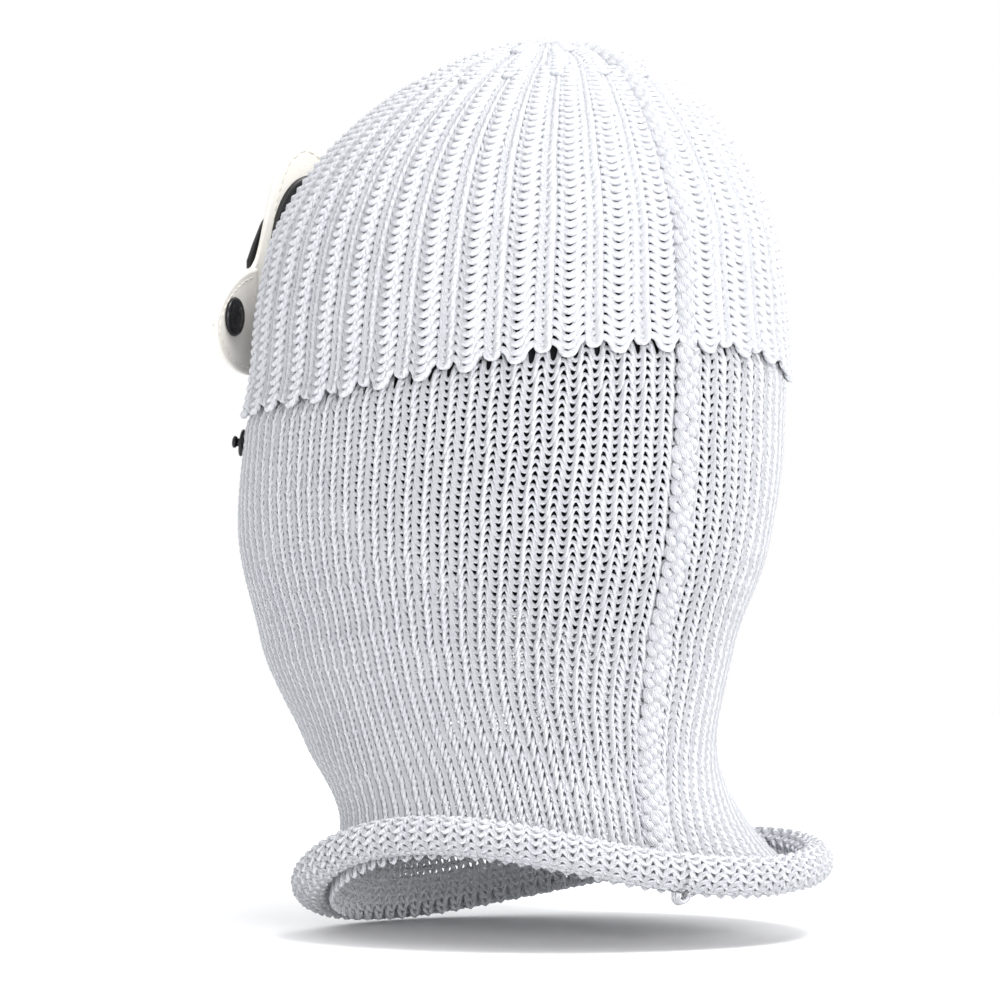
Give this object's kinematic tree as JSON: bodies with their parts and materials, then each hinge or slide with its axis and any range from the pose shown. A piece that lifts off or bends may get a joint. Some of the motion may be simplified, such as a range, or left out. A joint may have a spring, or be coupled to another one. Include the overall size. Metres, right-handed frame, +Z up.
{
  "type": "knitted balaclava",
  "caption": "Knitted balaclava: stockinette mask, ribbed crown, rolled neck hem, and a leather visor with dark lenses that folds up at the brow.",
  "frame": {"origin": "middle of the neck opening at the level of the hem's lowest point, where the wearer's neck leaves the mask", "axes": "+Z up to the crown, the face looks along -Y, +X is the wearer's left"},
  "size_m": [0.1589, 0.2082, 0.2761],
  "materials": {
    "white_yarn": "matte cool white knitted yarn",
    "charcoal_jersey": "matte thin jersey",
    "ivory_leather": "smooth ivory leather",
    "smoked_lens": "polished dark lens",
    "black_plastic": "satin black",
    "black_metal": "glossy black enamelled metal"
  },
  "bodies": {
    "mask": {"mask_body": "white_yarn", "rib_crown": "white_yarn", "crown_gather": "white_yarn", "skull_liner": "charcoal_jersey", "neck_hem_roll": "white_yarn", "hem_seam_tack": "white_yarn", "mask_back_seam": "white_yarn", "crown_back_seam": "white_yarn", "eye_slot_binding": "white_yarn", "brow_tab": "ivory_leather", "stud_left": "black_metal", "stud_ring_left": "black_metal", "stud_back_left": "black_metal", "stud_right": "black_metal", "stud_ring_right": "black_metal", "stud_back_right": "black_metal"},
    "visor": {"visor_panel": "ivory_leather", "hinge_piping": "ivory_leather", "nose_bridge_strip": "ivory_leather", "lens_left": "smoked_lens", "lens_right": "smoked_lens", "lens_rim_left": "black_plastic", "lens_rim_right": "black_plastic"},
    "wing_left": {"wing_left": "ivory_leather"},
    "tab_left": {"tab_left": "ivory_leather", "snap_cap_left": "black_metal", "snap_socket_left": "black_metal"},
    "wing_right": {"wing_right": "ivory_leather"},
    "tab_right": {"tab_right": "ivory_leather", "snap_cap_right": "black_metal", "snap_socket_right": "black_metal"}
  },
  "joints": [
    {"name": "visor_flip", "type": "hinge", "parent": "mask", "child": "visor", "pos_m": [0, -0.098, 0.1732], "axis": [1, 0, 0], "range_deg": [0, 168]},
    {"name": "wing_flex_left", "type": "hinge", "parent": "visor", "child": "wing_left", "pos_m": [0.0425, -0.098, 0.1732], "axis": [0, 0.0262, 0.9997], "range_deg": [-130, 0.5]},
    {"name": "wing_flex_right", "type": "hinge", "parent": "visor", "child": "wing_right", "pos_m": [-0.0425, -0.098, 0.1732], "axis": [0, 0.0262, 0.9997], "range_deg": [-0.5, 130]},
    {"name": "tab_flex_left", "type": "hinge", "parent": "wing_left", "child": "tab_left", "pos_m": [0.04744, -0.08279, 0.1728], "axis": [0, 0.0262, 0.9997], "range_deg": [-0.5, 40]},
    {"name": "tab_flex_right", "type": "hinge", "parent": "wing_right", "child": "tab_right", "pos_m": [-0.04744, -0.08279, 0.1728], "axis": [0, 0.0262, 0.9997], "range_deg": [-40, 0.5]}
  ],
  "couplings": [
    {"joint": "wing_flex_left", "follows": "visor_flip", "ratio": -0.7619},
    {"joint": "wing_flex_right", "follows": "visor_flip", "ratio": 0.7619},
    {"joint": "tab_flex_left", "follows": "visor_flip", "ratio": 0.2262},
    {"joint": "tab_flex_right", "follows": "visor_flip", "ratio": -0.2262}
  ]
}
